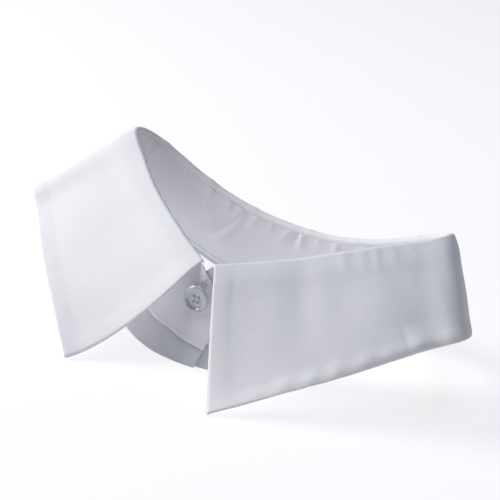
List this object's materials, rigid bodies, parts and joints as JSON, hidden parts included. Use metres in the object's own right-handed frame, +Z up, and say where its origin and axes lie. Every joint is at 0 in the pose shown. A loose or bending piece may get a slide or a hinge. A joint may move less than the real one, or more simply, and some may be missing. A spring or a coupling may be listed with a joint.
{
  "type": "detachable shirt collar",
  "caption": "Crisp white cotton shirt collar with a buttoned stand, worn by itself under a top; the leaf folds down over the stand.",
  "frame": {"origin": "on the surface the collar stands on, under the middle of its box", "axes": "+X across the collar to the wearer's left, +Y to the wearer's back, +Z up"},
  "size_m": [0.2084, 0.1555, 0.0643],
  "materials": {
    "leaf_cotton": "fine plain-weave cotton, fused and pressed crisp",
    "stand_cotton": "fine plain-weave cotton, fused and pressed crisp",
    "strip_cotton": "fine plain-weave cotton, pressed",
    "button_plastic": "translucent polyester, turned and polished"
  },
  "bodies": {
    "root": {"collar_leaf": "leaf_cotton", "stand": "stand_cotton", "strip": "strip_cotton", "button": "button_plastic"}
  },
  "joints": []
}
